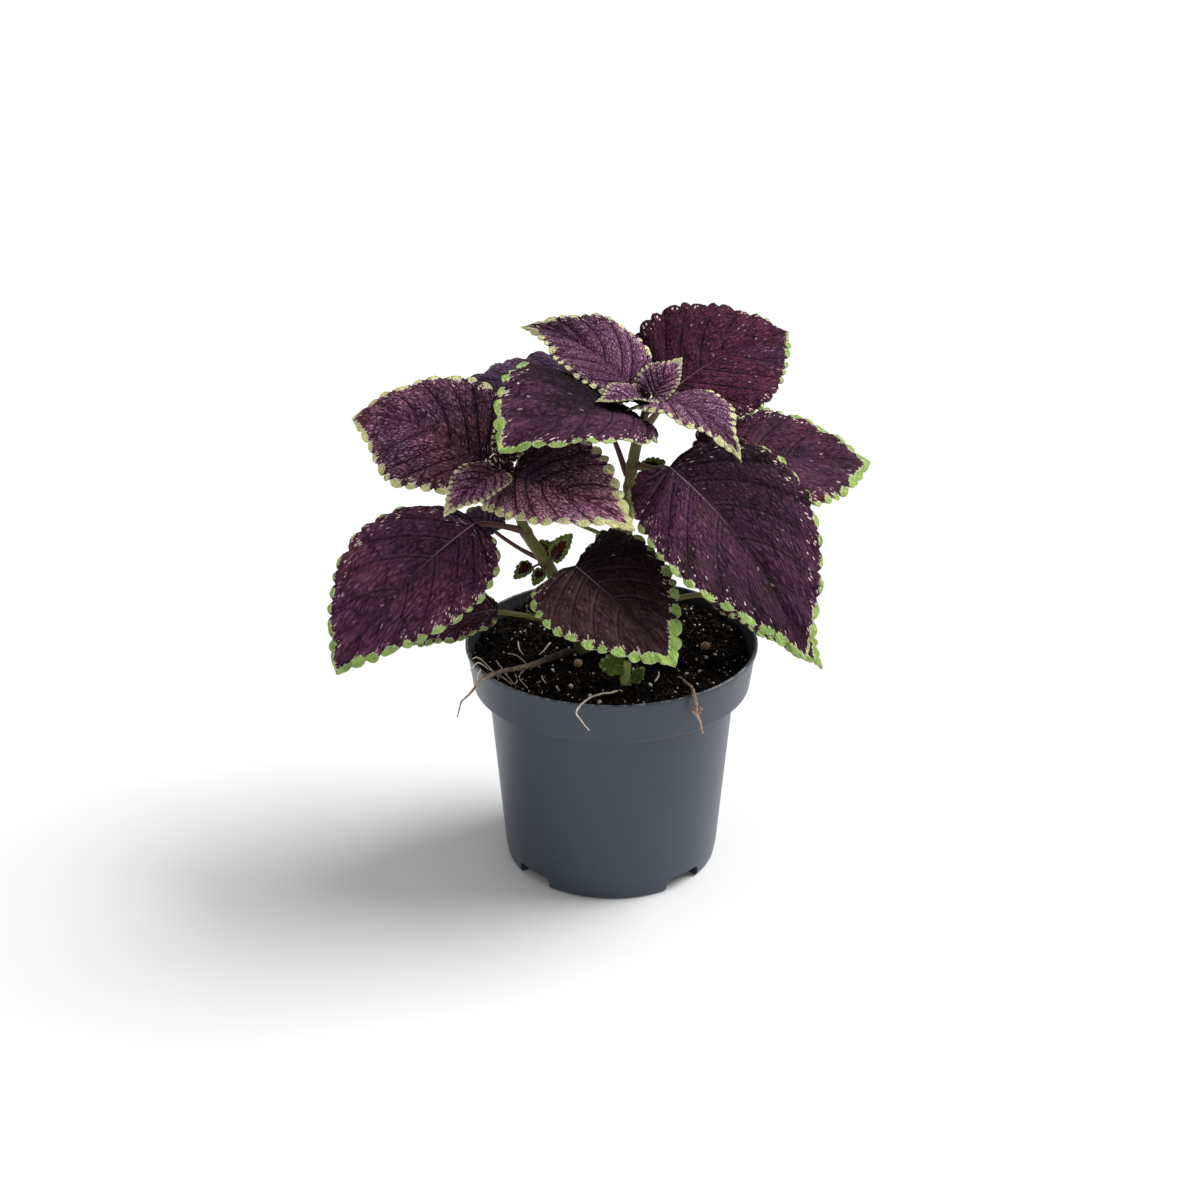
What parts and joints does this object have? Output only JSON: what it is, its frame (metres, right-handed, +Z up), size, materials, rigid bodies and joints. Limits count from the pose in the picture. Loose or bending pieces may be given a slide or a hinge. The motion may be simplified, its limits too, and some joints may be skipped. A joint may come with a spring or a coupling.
{
  "type": "potted coleus",
  "caption": "Leafy two-stemmed bedding plant with toothed, veined leaves, growing in soil in a round tapered nursery pot with a wide collar.",
  "frame": {"origin": "on the pot's axis, in the plane of the flat underside that it stands on", "axes": "+Z up along the pot's axis; +X to the side where the single widest leaf reaches; +Y to the back, away from the front leaves"},
  "size_m": [0.2158, 0.1365, 0.2287],
  "materials": {
    "blade": "deep burgundy leaf with a green toothed edge, softly glossy",
    "young_blade": "purple-pink quilted young leaf with a pale edge, softly glossy",
    "shaded_blade": "dark bluish purple leaf with a green edge, softly glossy",
    "stem": "smooth olive green with brown at the nodes",
    "sprout": "pale fresh green, matte",
    "root": "dull brown",
    "fine_root": "off-white, matte",
    "bead": "tan, matte",
    "soil": "near-black damp peat with pale specks",
    "pot": "slate grey, satin"
  },
  "bodies": {
    "root": {"stem_right": "stem", "stem_left": "stem", "leaf_apex_right": "young_blade", "leaf_apex_left": "young_blade", "bud_leaf_right_back": "young_blade", "bud_leaf_right_front": "young_blade", "leaf_top_left": "young_blade", "leaf_top_front": "young_blade", "leaf_back_right": "blade", "leaf_front_left": "blade", "leaf_back_left": "shaded_blade", "leaf_right_large": "blade", "leaf_node_small": "shaded_blade", "leaf_right_back": "blade", "leaf_inner_hidden": "shaded_blade", "leaf_right_base": "blade", "leaf_left_base": "blade", "bud_leaf_left_back": "young_blade", "bud_leaf_left_front": "young_blade", "leaf_left_small": "young_blade", "leaf_left_back": "young_blade", "leaf_left_upper": "blade", "leaf_left_inner": "young_blade", "leaf_left_lower": "blade", "leaf_left_shaded": "shaded_blade", "leaf_front_centre": "blade", "leaf_shaded_base": "shaded_blade", "shoot_leaf_front": "young_blade", "shoot_leaf_back": "shaded_blade", "shoot_leaf_left": "shaded_blade", "shoot_leaf_low": "young_blade", "sprout_stem": "sprout", "sprout_leaf_left": "sprout", "sprout_leaf_right": "sprout", "sprout_leaf_low": "sprout", "root_left": "root", "root_front": "fine_root", "root_right": "root", "feed_bead_1": "bead", "feed_bead_2": "bead", "feed_bead_3": "bead", "feed_bead_4": "bead", "soil": "soil", "pot": "pot"}
  },
  "joints": []
}
